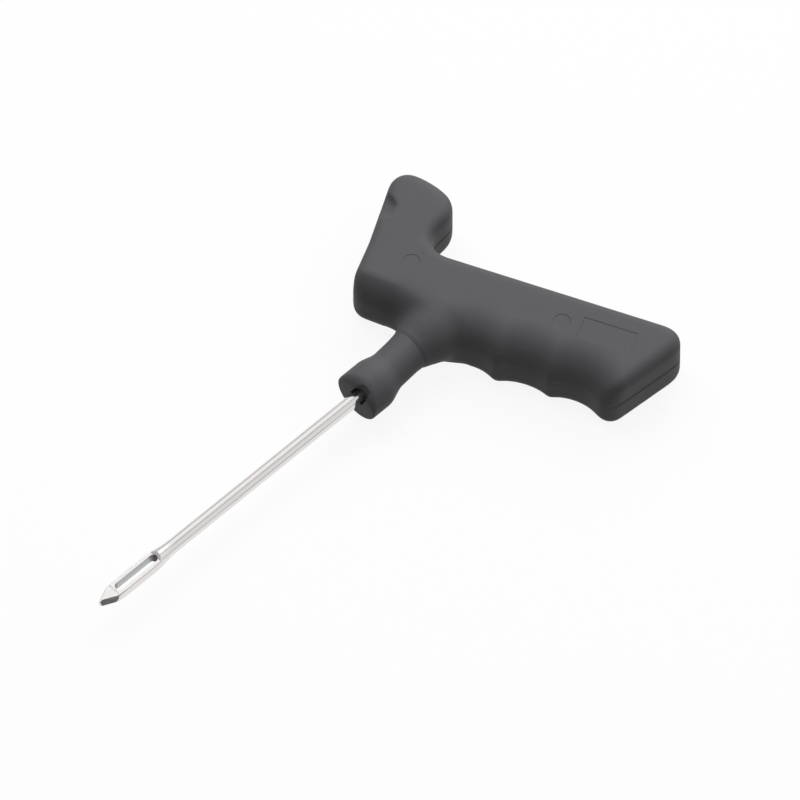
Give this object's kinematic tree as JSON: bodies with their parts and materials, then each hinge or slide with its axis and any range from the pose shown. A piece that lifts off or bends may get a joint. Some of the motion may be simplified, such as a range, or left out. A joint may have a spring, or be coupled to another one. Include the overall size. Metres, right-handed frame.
{
  "type": "tyre plug insertion tool",
  "caption": "Hand tool with a moulded pistol grip, a flared nose collar and a plated steel rod ending in a needle eye, for pushing a repair plug into a punctured tyre.",
  "frame": {"origin": "on the rod axis, in the plane of the collar's mouth", "axes": "+X along the rod to its tip, +Y down the grip, +Z out of the upper half of the handle"},
  "size_m": [0.2158, 0.1192, 0.024],
  "materials": {
    "moulded_grip": "fine moulded grain, charcoal black",
    "moulded_collar": "smooth moulded, charcoal black",
    "plated_rod": "bright plated steel",
    "zinc_fixings": "zinc plated"
  },
  "bodies": {
    "root": {"upper_shell": "moulded_grip", "lower_shell": "moulded_grip", "nose_collar": "moulded_collar", "insertion_rod": "plated_rod", "needle_eye": "plated_rod", "anchor_pin": "zinc_fixings", "shell_screws": "zinc_fixings"}
  },
  "joints": []
}
